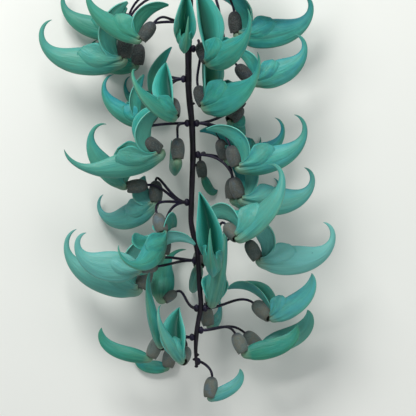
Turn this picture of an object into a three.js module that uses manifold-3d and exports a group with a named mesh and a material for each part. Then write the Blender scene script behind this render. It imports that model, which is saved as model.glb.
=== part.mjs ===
// Jade vine: one cut hanging cluster of claw-shaped flowers, laid down on its back on a flat surface.
// Millimetres, +Z up. The stem's cut end points to +Y and the surface is z = 0.

import * as THREE from 'three';
import { mergeVertices } from 'three/addons/utils/BufferGeometryUtils.js';
import Module from 'manifold-3d';

const wasm = await Module();
wasm.setup();

// Clearance between pieces that touch on the plant
const SEAT = 0.35;

// Central stem: its middle line from the cut end to the tip, and its thickness at both ends
const STEM_LINE = [
  [-2, 198, 52], [-2, 160, 52], [-3, 130, 53], [-3, 95, 52], [0, 66, 51], [1, 38, 51], [0, 12, 50],
  [-1, -20, 50], [5, -45, 50], [7, -80, 51], [8, -91, 51], [4, -112, 51], [3, -130, 51], [4, -143, 51],
];
const STEM_WIDTH_TOP = 6.4;
const STEM_WIDTH_TIP = 3.4;
const STEM_ROWS = 24;
const STEM_SIDES = 8;

// Scars where flowers have dropped: where they sit, and the side they face in degrees around the stem
const SCAR_WIDTH = 3.4;
const SCARS = [[83, 0], [30, 10], [-133, 20], [-137, 190], [-143, 260]];

// Stalks
const KNOB_WIDTH = 6.5;
const STALK_WIDTH = 2.1;
const STALK_ROWS = 4;
const STALK_SIDES = 5;
const KNOB_SINK = 1;
const STALK_BOW = 0.4;
const STALK_INTO_CALYX = 1.5;

// Calyx, the mealy bell that each flower sits in: radius against distance from the stalk
const CALYX_LENGTH = 19;
const CALYX_PROFILE = [[1.6, 0], [5, 3], [6.4, 9], [6.1, 14.5], [4.6, 19]];
const CALYX_SIDES = 6;
const CALYX_SIZES = [0.95, 1.1];

// Keel, the big claw: length along its middle, depth from belly to upper edge, and width across.
// Its heading in degrees starts at CLAW_RISE, falls by CLAW_DIP, and hooks by CLAW_HOOK towards the tip.
const KEEL_LENGTH = 96.5;
const KEEL_DEPTH = 25;
const KEEL_WIDTH = 13.5;
const KEEL_ROWS = 8;
const KEEL_SIDES = 6;
const CLAW_RISE = 26.5;
const CLAW_DIP = 41.6;
const CLAW_HOOK = 203.2;
const CLAW_HOOK_LATE = 3.07;
const CLAW_STEPS = 44;
const KEEL_DEPTH_SHARE = [[0, 0.25], [0.1, 0.6], [0.175, 0.9], [0.31, 1], [0.444, 0.9], [0.556, 0.7],
  [0.638, 0.5], [0.712, 0.33], [0.844, 0.17], [0.956, 0.08], [1, 0.02]];
const YOUNG_DEPTH_SHARE = [[0, 0.3], [0.06, 0.52], [0.15, 0.8], [0.3, 1], [0.5, 0.95], [0.65, 0.84],
  [0.8, 0.63], [0.9, 0.4], [1, 0.03]];
const KEEL_WIDTH_SHARE = [[0, 0.55], [0.15, 0.95], [0.35, 1], [0.55, 0.78], [0.7, 0.45], [0.85, 0.22],
  [1, 0.03]];

// Wings, the two rounded petals on the sides of the keel's base
const WING_LENGTH = 30;
const WING_DEPTH = 18;
const WING_SPREAD = 17;
const WING_ROWS = 5;
const WING_START = [5, -2.2];
const WING_HEADING = [14, 34];
const WING_STEPS = 12;

// Standard, the folded petal that bends back over the calyx. from is the way it leaves and to the way
// its tip points, in degrees in the flower's own side view; long scales it. It turns most near the calyx.
const STANDARD_WIDTH = 23;
const STANDARD_FOLD = 8;
const STANDARD_ROWS = 6;
const STANDARD_LENGTH = 60;
const STANDARD_START = [5.6, -1.6];
const STANDARD_STEPS = 24;
const STANDARD_FROM = 15;
const STANDARD_TURN = 0.55;
const STANDARDS = {
  arched: { to: 200, long: 1 },
  swept: { to: 160, long: 0.96 },
  upright: { to: 118, long: 0.96 },
  short: { to: 130, long: 0.55 },
};

// Stalk clusters: where each leaves the stem (y) and the side, in degrees around it: 0 is +X, 90 is up
const CLUSTERS = [
  [186, 20], [180, 165], [153, 170], [130, 20], [104, 165], [66, 170], [66, 10], [39, 350],
  [-2, 175], [-52, 215], [-44, 20], [-93, 10], [-93, 185], [-112, 0], [-118, 175], [-139, 300],
];

// Flowers: its cluster, where its calyx opens, where the claw's tip ends, the way its belly faces and
// the pose of its standard. A closed one shows no standard and no wings.
const FLOWERS = [
  { cluster: 1, base: [38, 145, 40], tip: [93, 178, 42], belly: [0, -1, 0], standard: 'arched' },
  { cluster: 1, base: [26, 187, 76], tip: [84, 214, 76], belly: [0, -1, 0], standard: 'arched' },
  { cluster: 1, base: [50, 103, 60], tip: [88, 142, 60], belly: [0, -1, 0], standard: 'upright' },
  { cluster: 2, base: [-58, 123, 50], tip: [-120, 155, 50], belly: [0, -1, 0], standard: 'swept' },
  { cluster: 2, base: [-60, 145, 26], tip: [-105, 184, 22], belly: [0, -1, 0], standard: 'short' },
  { cluster: 3, base: [-43, 138, 78], tip: [-83, 189, 80], belly: [0, -1, 0], standard: 'swept' },
  { cluster: 3, base: [-47, 118, 20.92], tip: [-82, 139, 6.92], belly: [0, -1, 0], standard: 'swept' },
  { cluster: 3, base: [-7, 138, 80], tip: [-5, 156, 126], belly: [0, -1, 0.6], standard: 'upright' },
  { cluster: 4, base: [13, 119, 82], tip: [45, 162, 127], belly: [0.5, -0.8, 0.4], standard: 'upright' },
  { cluster: 4, base: [10, 82, 63], tip: [56, 126, 108], belly: [0.3, -1, 0.3], standard: 'upright' },
  { cluster: 7, base: [33, 69, 23.61], tip: [58, 55, 3.61], belly: [0, -1, 0], standard: 'short' },
  { cluster: 5, base: [-15, 72, 92], tip: [-46, 111, 114], belly: [-0.35, -0.45, 1], standard: 'upright' },
  { cluster: 5, base: [-40, 66, 48], tip: [-67, 108, 48], belly: [-0.4, -1, 0], standard: 'upright' },
  { cluster: 5, base: [-30, 84, 33.16], tip: [-54, 107, 9.16], belly: [0, -1, 0], standard: 'upright' },
  { cluster: 6, base: [-28, 43, 76], tip: [-109, 43, 84], belly: [0, -1, -0.3], standard: 'arched' },
  { cluster: 6, base: [-12, 36, 74], tip: [-17, 52, 26], belly: [0, -1, 0], standard: 'closed' },
  { cluster: 7, base: [38, 30, 76], tip: [87, 73, 76], belly: [0, -1, 0], standard: 'arched' },
  { cluster: 7, base: [29, 36, 44], tip: [71, 71, 42], belly: [0, -1, 0], standard: 'arched' },
  { cluster: 8, base: [41, 3, 58], tip: [96, 28, 58], belly: [0, -1, 0], standard: 'arched' },
  { cluster: 8, base: [34, 2, 25.06], tip: [70, 19, 7.06], belly: [0, -1, 0], standard: 'swept' },
  { cluster: 8, base: [9, 21, 18.6], tip: [22, 9, 3.6], belly: [0, -1, 0], standard: 'closed' },
  { cluster: 9, base: [-55, 11, 54], tip: [-73, 65, 56], belly: [-1, -0.3, 0], standard: 'swept' },
  { cluster: 9, base: [-31, -0.5, 46], tip: [-78, 5, 16], belly: [0, -1, 0], standard: 'swept' },
  { cluster: 9, base: [-25, -27, 85], tip: [-63, -39, 131], belly: [0.2, -1, 0.5], standard: 'arched' },
  { cluster: 9, base: [-24, -46, 64], tip: [-56, -50, 52], belly: [0, -1, 0], standard: 'closed' },
  { cluster: 10, base: [-42, -59, 76], tip: [-90, -28, 76], belly: [0, -1, 0], standard: 'arched' },
  { cluster: 10, base: [-44, -75, 44], tip: [-99, -25, 44], belly: [0, -1, 0], standard: 'swept' },
  { cluster: 11, base: [6, -56, 38.62], tip: [2, -67, 3.62], belly: [0, -0.3, 1], standard: 'closed' },
  { cluster: 11, base: [38, -32, 96], tip: [66, 29, 94], belly: [0.9, -0.43, 0.8], standard: 'arched' },
  { cluster: 11, base: [56, -50, 72], tip: [112, -19, 72], belly: [0, -1, 0], standard: 'arched' },
  { cluster: 11, base: [19, -54, 82], tip: [15, -24, 132], belly: [0, -1, 0.6], standard: 'upright' },
  { cluster: 12, base: [67, -100, 50], tip: [102, -62.5, 72], belly: [0, -1, 0], standard: 'arched' },
  { cluster: 12, base: [14, -107, 37.59], tip: [21, -86, 11.99], belly: [0, -1, 0.3], standard: 'closed' },
  { cluster: 13, base: [-23, -86, 42], tip: [-5, -42, 16], belly: [-1, -0.3, 0], standard: 'closed' },
  { cluster: 12, base: [17, -89, 51], tip: [28, -29, 57], belly: [0.1, 0, 1], standard: 'short' },
  { cluster: 14, base: [44, -130, 60], tip: [90, -107, 60], belly: [0, -1, 0], standard: 'closed' },
  { cluster: 14, base: [58, -126, 34], tip: [99.5, -94.5, 34], belly: [0, -1, 0], standard: 'closed' },
  { cluster: 15, base: [-35, -134.5, 56], tip: [-77.5, -109.5, 56], belly: [0, -1, 0], standard: 'closed' },
  { cluster: 15, base: [-8, -137, 93], tip: [-27.5, -90, 105], belly: [-0.4, -0.2, 1], standard: 'upright' },
  { cluster: 15, base: [-26, -124, 80], tip: [-38, -62, 88], belly: [-0.3, 0, 1], standard: 'closed' },
  { cluster: 15, base: [-21, -144, 9.38], tip: [-48, -134, 7.38], belly: [0, -1, 0], standard: 'closed' },
  { cluster: 16, base: [15, -169, 50], tip: [41, -145, 50], belly: [0, -1, 0], standard: 'closed' },
];

// What single flowers have of their own. curl straightens or tightens the claw, nod is the angle
// between the calyx and the claw's base, deep and fat scale the keel, and young keels have no hook.
// from, to, turn, long and wide change the standard, and bell scales the calyx.
const OWN = {
  1: { deep: 1.12 },
  3: { nod: 130, curl: 0.92, deep: 1.25, from: 30, to: 165, long: 0.8 },
  5: { curl: 0.85, to: 150 },
  6: { curl: 0.7, deep: 0.85 },
  8: { long: 1.25 },
  9: { curl: 0.65, deep: 1.15, from: 60, to: 105, long: 1.3, wide: 1.3 },
  10: { curl: 0.62, deep: 1.2, from: 60, to: 105, long: 1.1 },
  12: { from: 70, to: 130, long: 1.15 },
  13: { curl: 0.85, to: 105, long: 1.1 },
  14: { from: 75, to: 146, long: 1.45 },
  15: { curl: 0.55, nod: 60, from: 42, to: 215, turn: 1, long: 0.92 },
  17: { curl: 0.92 },
  18: { curl: 0.9 },
  19: { nod: 130, deep: 1.2, from: 50, to: 190, turn: 0.8, long: 1.1 },
  21: { young: 1, curl: 0.6, nod: 165, deep: 1.6, fat: 1.3, bell: 0.8 },
  22: { nod: 144, curl: 0.9 },
  23: { curl: 1.03, deep: 1.15, nod: 130, long: 0.6 },
  24: { nod: 150, from: 150, to: 270, turn: 0.8, long: 0.48 },
  25: { nod: 144 },
  26: { nod: 185, deep: 1.4, from: 115, to: 240, turn: 1.3, long: 1.3, wide: 0.65, bell: 0.78 },
  27: { curl: 0.85 },
  28: { fat: 1.5 },
  29: { curl: 0.9, long: 1, to: 192 },
  30: { nod: 135, deep: 1.15 },
  31: { from: 40, to: 103, long: 1.35 },
  32: {
    nod: 128, curl: 0.5, young: 1, deep: 1.25, bell: 1.15,
    from: 58, to: 186, long: 1.55, turn: 0.7, wide: 1.25,
  },
  33: { young: 1 },
  34: { deep: 1.35, curl: 0.6, nod: 62, bell: 0.72 },
  36: { nod: 112, curl: 0.5, young: 1, deep: 1.2 },
  37: { nod: 130, curl: 0.6, young: 1, deep: 1.3 },
  38: { curl: 0.58, young: 1, deep: 0.93 },
  39: { to: 98, long: 1.2, curl: 0.75, wide: 1.4 },
  40: { curl: 0.5, young: 1 },
  41: { young: 1, curl: 0.6, deep: 1.4 },
  42: { nod: 66, curl: 0.55, young: 1, deep: 1.15 },
};

function paint(color, roughness) {
  return new THREE.MeshStandardMaterial({ color, roughness, metalness: 0 });
}

function stemPaint() {
  return paint(0x241829, 0.55);
}

function stalkPaint() {
  return paint(0x6b6468, 0.8);
}

function petalPaint() {
  return paint(0x3fa396, 0.5);
}

// Straight-line reading of a list of [place, value] pairs
function between(pairs, place) {
  let last = pairs[0];
  for (const next of pairs) {
    if (next[0] >= place) {
      const span = next[0] - last[0];
      return span === 0 ? next[1] : last[1] + ((next[1] - last[1]) * (place - last[0])) / span;
    }
    last = next;
  }
  return last[1];
}

// A closed body of rings: ringPoint(along, around) says where a point of the ring goes, and the first
// and last ring close to a point each.
function ringBody(sides, rows, ringPoint) {
  const shape = new THREE.SphereGeometry(1, sides, rows);
  const spots = shape.attributes.position;
  const reading = shape.attributes.uv;
  for (let index = 0; index < spots.count; index += 1) {
    const row = Math.round((1 - reading.getY(index)) * rows);
    const around = (reading.getX(index) * sides) % sides;
    const pole = row === 0 || row === rows;
    const place = ringPoint(row / rows, (2 * Math.PI * Math.round(around)) / sides, pole);
    spots.setXYZ(index, place.x, place.y, place.z);
  }
  return welded(shape);
}

function welded(shape) {
  shape.deleteAttribute('normal');
  shape.deleteAttribute('uv');
  return mergeVertices(shape, 1e-4);
}

function solidOf(shape) {
  const vertProperties = new Float32Array(shape.attributes.position.array);
  const triVerts = new Uint32Array(shape.index.array);
  const solid = new wasm.Manifold(new wasm.Mesh({ numProp: 3, vertProperties, triVerts }));
  if (solid.volume() > 0) {
    return solid;
  }
  for (let corner = 0; corner < triVerts.length; corner += 3) {
    [triVerts[corner + 1], triVerts[corner + 2]] = [triVerts[corner + 2], triVerts[corner + 1]];
  }
  return new wasm.Manifold(new wasm.Mesh({ numProp: 3, vertProperties, triVerts }));
}

function geometryOf(solid) {
  const mesh = solid.getMesh();
  const geometry = new THREE.BufferGeometry();
  geometry.setAttribute('position', new THREE.BufferAttribute(new Float32Array(mesh.vertProperties), 3));
  geometry.setIndex(new THREE.BufferAttribute(new Uint32Array(mesh.triVerts), 1));
  return geometry;
}

function joined(solids) {
  return solids.reduce((whole, solid) => whole.add(solid));
}

function named(name, solid, material) {
  const mesh = new THREE.Mesh(geometryOf(solid), material);
  mesh.name = name;
  return mesh;
}

// Round rod along a curve, thickness(along) at each row
function rod(curve, sides, rows, thickness) {
  const frames = curve.computeFrenetFrames(rows - 2, false);
  return ringBody(sides, rows, (along, around, pole) => {
    const row = Math.min(Math.max(Math.round(along * rows) - 1, 0), rows - 2);
    const place = curve.getPointAt(row / (rows - 2));
    const reach = pole ? 0 : thickness(row / (rows - 2)) / 2;
    place.addScaledVector(frames.normals[row], reach * Math.cos(around));
    return place.addScaledVector(frames.binormals[row], reach * Math.sin(around));
  });
}

const stemCurve = new THREE.CatmullRomCurve3(STEM_LINE.map((spot) => new THREE.Vector3(...spot)));

function stemWidth(along) {
  return STEM_WIDTH_TOP + (STEM_WIDTH_TIP - STEM_WIDTH_TOP) * along;
}

// The place on the stem's middle line at a height y, found by halving
function alongStemAt(y) {
  let low = 0;
  let high = 1;
  for (let turn = 0; turn < 30; turn += 1) {
    const middle = (low + high) / 2;
    if (stemCurve.getPointAt(middle).y > y) {
      low = middle;
    } else {
      high = middle;
    }
  }
  return low;
}

function sideways(degrees) {
  const angle = THREE.MathUtils.degToRad(degrees);
  return new THREE.Vector3(Math.cos(angle), 0, Math.sin(angle));
}

function ball(width, at) {
  const shape = new THREE.SphereGeometry(width / 2, 6, 4);
  shape.translate(at.x, at.y, at.z);
  return solidOf(welded(shape));
}

function stem() {
  const pieces = [solidOf(rod(stemCurve, STEM_SIDES, STEM_ROWS, stemWidth))];
  for (const [y, side] of SCARS) {
    const along = alongStemAt(y);
    const at = stemCurve.getPointAt(along).addScaledVector(sideways(side), stemWidth(along) / 2);
    pieces.push(ball(SCAR_WIDTH, at));
  }
  return named('stem', joined(pieces), stemPaint());
}

// Which way the claw's middle line points at a share of its length, in the flower's side view.
// It leaves the calyx straight, turns out, and hooks ever harder towards the tip.
function clawHeading(share, curl, nod) {
  const leaving = nod - 180;
  const running = curl * (CLAW_RISE - CLAW_DIP * share + CLAW_HOOK * share ** CLAW_HOOK_LATE);
  const turned = THREE.MathUtils.smoothstep(share, 0, 0.08);
  return THREE.MathUtils.degToRad(leaving + (running - leaving) * turned);
}

// Points of a flat line that starts at a spot and follows heading(share), as places with headings
function followed(start, length, steps, heading) {
  const places = [{ x: start[0], y: start[1], heading: heading(0) }];
  for (let step = 1; step <= steps; step += 1) {
    const last = places[step - 1];
    const middle = heading((step - 0.5) / steps);
    places.push({
      x: last.x + (length / steps) * Math.cos(middle),
      y: last.y + (length / steps) * Math.sin(middle),
      heading: heading(step / steps),
    });
  }
  return places;
}

function readPlaces(places, share) {
  const exact = share * (places.length - 1);
  const index = Math.min(Math.floor(exact), places.length - 2);
  const part = exact - index;
  const [a, b] = [places[index], places[index + 1]];
  return {
    x: a.x + (b.x - a.x) * part,
    y: a.y + (b.y - a.y) * part,
    heading: a.heading + (b.heading - a.heading) * part,
  };
}

// Rows of a petal body run over its shares, with the first and the last row as its flat or sharp end
function petalBody(sides, rows, places, section) {
  return solidOf(ringBody(sides, rows, (along, around, pole) => {
    const share = Math.min(Math.max((along * rows - 1) / (rows - 2), 0), 1);
    const middle = readPlaces(places, share);
    const { out, side } = section(share, around);
    const reach = pole ? 0 : out;
    return new THREE.Vector3(
      middle.x - reach * Math.sin(middle.heading),
      middle.y + reach * Math.cos(middle.heading),
      pole ? 0 : side,
    );
  }));
}

function keel(places, { deep = 1, fat = 1, young = 0 }) {
  const depths = young ? YOUNG_DEPTH_SHARE : KEEL_DEPTH_SHARE;
  return petalBody(KEEL_SIDES, KEEL_ROWS, places, (share, around) => ({
    out: (KEEL_DEPTH / 2) * deep * between(depths, share) * Math.cos(around),
    side: (KEEL_WIDTH / 2) * fat * between(KEEL_WIDTH_SHARE, share) * Math.sin(around),
  }));
}

// Both wings and the part of the keel between them, as one swelling
function wings() {
  const places = followed(WING_START, WING_LENGTH, WING_STEPS, (share) => (
    THREE.MathUtils.degToRad(THREE.MathUtils.lerp(...WING_HEADING, share))
  ));
  return petalBody(4, WING_ROWS, places, (share, around) => ({
    out: (WING_DEPTH / 2) * Math.sin(Math.PI * (0.06 + 0.84 * share ** 1.2)) * Math.cos(around) + 4 * share,
    side: (WING_SPREAD / 2) * Math.sin(Math.PI * (0.15 + 0.6 * share)) * Math.sin(around),
  }));
}

function standard(pose, own) {
  const { from = STANDARD_FROM, turn = STANDARD_TURN, wide = 1 } = own;
  const { to, long } = { ...STANDARDS[pose], ...own };
  const places = followed(STANDARD_START, STANDARD_LENGTH * long, STANDARD_STEPS, (share) => (
    THREE.MathUtils.degToRad(from + (to - from) * share ** turn)
  ));
  return petalBody(4, STANDARD_ROWS, places, (share, around) => {
    const spread = Math.sin(Math.PI * (0.1 + 0.9 * share) ** 0.9) ** 0.7;
    const fold = Math.cos(around) > 0.5 ? 0.3 : -0.3;
    const margin = Math.abs(Math.sin(around)) > 0.5;
    return {
      out: STANDARD_FOLD * spread * (margin ? -0.7 : fold),
      side: (STANDARD_WIDTH / 2) * wide * spread * Math.sin(around),
    };
  });
}

// A calyx that is fatter all round by extra
function calyx(extra) {
  const last = CALYX_PROFILE.length - 1;
  const rings = CALYX_PROFILE.map(([radius, z], row) => {
    const away = row === 0 ? -extra : row === last ? extra : 0;
    return new THREE.Vector2(radius + extra, z + away);
  });
  const profile = [new THREE.Vector2(0, rings[0].y), ...rings, new THREE.Vector2(0, rings[last].y)];
  return solidOf(welded(new THREE.LatheGeometry(profile, CALYX_SIDES)));
}

// Turns the flat side view of a flower into its place: its claw runs from base to tip, belly outwards
function standing(flower) {
  const own = OWN[FLOWERS.indexOf(flower) + 1] ?? {};
  const { curl = 1, nod = 110 } = own;
  const claw = followed([0, 0], KEEL_LENGTH, CLAW_STEPS, (share) => clawHeading(share, curl, nod));
  const end = claw[claw.length - 1];
  const slant = Math.atan2(end.y, end.x);
  const base = new THREE.Vector3(...flower.base);
  const chord = new THREE.Vector3(...flower.tip).sub(base);
  const size = chord.length() / Math.hypot(end.x, end.y);
  chord.normalize();
  const back = new THREE.Vector3(...flower.belly).negate();
  back.addScaledVector(chord, -back.dot(chord)).normalize();
  const ahead = chord.clone().multiplyScalar(Math.cos(slant)).addScaledVector(back, -Math.sin(slant));
  const up = chord.clone().multiplyScalar(Math.sin(slant)).addScaledVector(back, Math.cos(slant));
  const across = new THREE.Vector3().crossVectors(ahead, up);
  const turn = new THREE.Matrix4().makeBasis(ahead, up, across);
  const growth = ahead.clone().multiplyScalar(Math.cos(claw[0].heading));
  growth.addScaledVector(up, Math.sin(claw[0].heading));
  return { own, claw, base, size, turn, growth };
}

// The knob, stalks and calyces of one cluster, each of them fatter all round by extra
function clusterPieces(number, extra) {
  const [y, side] = CLUSTERS[number - 1];
  const along = alongStemAt(y);
  const out = sideways(side);
  const knobReach = (stemWidth(along) + KNOB_WIDTH) / 2 - KNOB_SINK;
  const knobAt = stemCurve.getPointAt(along).addScaledVector(out, knobReach);
  const pieces = [ball(KNOB_WIDTH + 2 * extra, knobAt)];
  for (const flower of FLOWERS.filter((each) => each.cluster === number)) {
    const { own, base, growth, size } = standing(flower);
    const bellSize = THREE.MathUtils.clamp(size, CALYX_SIZES[0], CALYX_SIZES[1]) * (own.bell ?? 1);
    const mouth = base.clone().addScaledVector(growth, -SEAT);
    const top = mouth.clone().addScaledVector(growth, -CALYX_LENGTH * bellSize);
    const bell = geometryOf(calyx(extra / bellSize)).scale(bellSize, bellSize, bellSize);
    bell.applyQuaternion(new THREE.Quaternion().setFromUnitVectors(new THREE.Vector3(0, 1, 0), growth));
    bell.translate(top.x, top.y, top.z);
    const reach = top.distanceTo(knobAt) * STALK_BOW;
    const inside = top.clone().addScaledVector(growth, STALK_INTO_CALYX);
    const route = new THREE.CubicBezierCurve3(
      knobAt,
      knobAt.clone().addScaledVector(out, reach),
      top.clone().addScaledVector(growth, -reach),
      inside,
    );
    const stalk = rod(route, STALK_SIDES, STALK_ROWS + 2, () => STALK_WIDTH + 2 * extra);
    pieces.push(solidOf(bell), solidOf(stalk));
  }
  return pieces;
}

// Everything that petals stay clear of: the clusters, grown by the clearance
const kept = joined(CLUSTERS.flatMap((cluster, index) => clusterPieces(index + 1, SEAT)));

// Petals are grown in one, so a cut that would part them is an error
function undivided(solid, name) {
  if (solid.decompose().length !== 1) {
    throw new Error(`${name} is cut apart`);
  }
  return solid;
}

function corolla(flower, number) {
  const { own, claw, base, size, turn } = standing(flower);
  const pieces = [keel(claw, own)];
  if (flower.standard !== 'closed') {
    pieces.push(wings(), standard(flower.standard, own));
  }
  const place = turn.clone().setPosition(base);
  const whole = joined(pieces).scale([size, size, size]);
  const taken = kept.transform(place.clone().invert().toArray());
  const name = `corolla_${String(number).padStart(2, '0')}`;
  const mesh = named(name, undivided(whole.subtract(taken), name), petalPaint());
  mesh.quaternion.setFromRotationMatrix(turn);
  mesh.position.copy(base);
  return mesh;
}

// One knob on the stem with its stalks and their calyces, grown as one and hollowed to sit on the stem
function stalkCluster(number) {
  const seat = solidOf(rod(stemCurve, STEM_SIDES, STEM_ROWS, (share) => stemWidth(share) + 2 * SEAT));
  const name = `stalk_cluster_${String(number).padStart(2, '0')}`;
  return named(name, joined(clusterPieces(number, 0)).subtract(seat), stalkPaint());
}

const raceme = new THREE.Group();
raceme.add(stem());
CLUSTERS.forEach((cluster, index) => raceme.add(stalkCluster(index + 1)));
FLOWERS.forEach((flower, index) => raceme.add(corolla(flower, index + 1)));

// The middle of the whole goes over the origin, and its lowest petals onto the surface
const room = new THREE.Box3().setFromObject(raceme, true);
const middle = room.getCenter(new THREE.Vector3());
raceme.position.set(-middle.x, -middle.y, -room.min.z);

const laidDown = new THREE.Group();
laidDown.add(raceme);

export default laidDown;
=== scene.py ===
# %% [markdown]
# # A cut jade vine cluster, laid on its back
# A jade vine carries its flowers on a hanging stem. Each flower is a calyx, a small mealy bell, with a
# big claw-shaped keel coming out of it, two rounded wings hugging the keel's base, and a folded petal,
# the standard, that bends back over the calyx. The CAD frame already holds one plain solid for the
# petals of each flower and one for each bunch of stalks. Here each flower gets its real thin petals.

# %% Load the frame
import math
import random

import bmesh
import bpy
from mathutils import Matrix, Vector


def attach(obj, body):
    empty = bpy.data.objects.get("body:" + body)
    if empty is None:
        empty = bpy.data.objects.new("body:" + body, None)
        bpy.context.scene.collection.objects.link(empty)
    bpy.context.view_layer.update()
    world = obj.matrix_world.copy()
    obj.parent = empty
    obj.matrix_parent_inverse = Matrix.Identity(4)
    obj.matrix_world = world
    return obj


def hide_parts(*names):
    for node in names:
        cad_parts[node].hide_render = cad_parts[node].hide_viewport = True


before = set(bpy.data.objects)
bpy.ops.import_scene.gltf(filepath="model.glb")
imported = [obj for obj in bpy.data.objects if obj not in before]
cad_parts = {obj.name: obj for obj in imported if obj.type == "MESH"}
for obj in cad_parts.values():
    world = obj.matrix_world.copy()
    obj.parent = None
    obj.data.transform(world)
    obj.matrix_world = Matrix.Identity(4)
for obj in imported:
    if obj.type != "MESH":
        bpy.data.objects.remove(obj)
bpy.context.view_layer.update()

# %% [markdown]
# ## Where every flower stands
# Lengths are in millimetres until a piece is put in its place. The rows below are the ones that the
# CAD was built from. The flowers could be read off the CAD's solids instead, but those are too coarse
# to tell a petal's line. The picture plane is X and Y, +Z faces the camera, and `LAID_DOWN` moves the
# cluster onto the floor.
#
# A row of `CLUSTERS` says at which height its stalks leave the stem and, in degrees, to which side. A
# row of `FLOWERS` says which cluster it hangs on, where its calyx opens (the base), where its claw
# ends (the tip), the way its belly faces, and the pose of its standard.
#
# `OWN` holds what single flowers have of their own. `curl` and `nod` shape the claw's line. `deep` and
# `fat` scale the keel, and a `young` keel stays deep nearly to its tip. `from`, `to`, `turn`, `long`,
# `wide` and `lean` shape the standard, `flare` and `wings` the wings, and `bell` scales the calyx.
# `pale` lightens the petals, and `TONES` runs from greener at 0 to bluer at 1.

# %% Rows of stalk clusters and flowers
MM = 0.001
LAID_DOWN = Vector((4.309, -24.133, -3.497))
CLUSTERS = [
    [186, 20], [180, 165], [153, 170], [130, 20], [104, 165], [66, 170], [66, 10], [39, 350],
    [-2, 175], [-52, 215], [-44, 20], [-93, 10], [-93, 185], [-112, 0], [-118, 175], [-139, 300],
]
FLOWERS = [
    [1, (38, 145, 40), (93, 178, 42), (0, -1, 0), "arched"],
    [1, (26, 187, 76), (84, 214, 76), (0, -1, 0), "arched"],
    [1, (50, 103, 60), (88, 142, 60), (0, -1, 0), "upright"],
    [2, (-58, 123, 50), (-120, 155, 50), (0, -1, 0), "swept"],
    [2, (-60, 145, 26), (-105, 184, 22), (0, -1, 0), "short"],
    [3, (-43, 138, 78), (-83, 189, 80), (0, -1, 0), "swept"],
    [3, (-47, 118, 20.92), (-82, 139, 6.92), (0, -1, 0), "swept"],
    [3, (-7, 138, 80), (-5, 156, 126), (0, -1, 0.6), "upright"],
    [4, (13, 119, 82), (45, 162, 127), (0.5, -0.8, 0.4), "upright"],
    [4, (10, 82, 63), (56, 126, 108), (0.3, -1, 0.3), "upright"],
    [7, (33, 69, 23.61), (58, 55, 3.61), (0, -1, 0), "short"],
    [5, (-15, 72, 92), (-46, 111, 114), (-0.35, -0.45, 1), "upright"],
    [5, (-40, 66, 48), (-67, 108, 48), (-0.4, -1, 0), "upright"],
    [5, (-30, 84, 33.16), (-54, 107, 9.16), (0, -1, 0), "upright"],
    [6, (-28, 43, 76), (-109, 43, 84), (0, -1, -0.3), "arched"],
    [6, (-12, 36, 74), (-17, 52, 26), (0, -1, 0), "closed"],
    [7, (38, 30, 76), (87, 73, 76), (0, -1, 0), "arched"],
    [7, (29, 36, 44), (71, 71, 42), (0, -1, 0), "arched"],
    [8, (41, 3, 58), (96, 28, 58), (0, -1, 0), "arched"],
    [8, (34, 2, 25.06), (70, 19, 7.06), (0, -1, 0), "swept"],
    [8, (9, 21, 18.6), (22, 9, 3.6), (0, -1, 0), "closed"],
    [9, (-55, 11, 54), (-73, 65, 56), (-1, -0.3, 0), "swept"],
    [9, (-31, -0.5, 46), (-78, 5, 16), (0, -1, 0), "swept"],
    [9, (-25, -27, 85), (-63, -39, 131), (0.2, -1, 0.5), "arched"],
    [9, (-24, -46, 64), (-56, -50, 52), (0, -1, 0), "closed"],
    [10, (-42, -59, 76), (-90, -28, 76), (0, -1, 0), "arched"],
    [10, (-44, -75, 44), (-99, -25, 44), (0, -1, 0), "swept"],
    [11, (6, -56, 38.62), (2, -67, 3.62), (0, -0.3, 1), "closed"],
    [11, (38, -32, 96), (66, 29, 94), (0.9, -0.43, 0.8), "arched"],
    [11, (56, -50, 72), (112, -19, 72), (0, -1, 0), "arched"],
    [11, (19, -54, 82), (15, -24, 132), (0, -1, 0.6), "upright"],
    [12, (67, -100, 50), (102, -62.5, 72), (0, -1, 0), "arched"],
    [12, (14, -107, 37.59), (21, -86, 11.99), (0, -1, 0.3), "closed"],
    [13, (-23, -86, 42), (-5, -42, 16), (-1, -0.3, 0), "closed"],
    [12, (17, -89, 51), (28, -29, 57), (0.1, 0, 1), "short"],
    [14, (44, -130, 60), (90, -107, 60), (0, -1, 0), "closed"],
    [14, (58, -126, 34), (99.5, -94.5, 34), (0, -1, 0), "closed"],
    [15, (-35, -134.5, 56), (-77.5, -109.5, 56), (0, -1, 0), "closed"],
    [15, (-8, -137, 93), (-27.5, -90, 105), (-0.4, -0.2, 1), "upright"],
    [15, (-26, -124, 80), (-38, -62, 88), (-0.3, 0, 1), "closed"],
    [15, (-21, -144, 9.38), (-48, -134, 7.38), (0, -1, 0), "closed"],
    [16, (15, -169, 50), (41, -145, 50), (0, -1, 0), "closed"],
]
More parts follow.
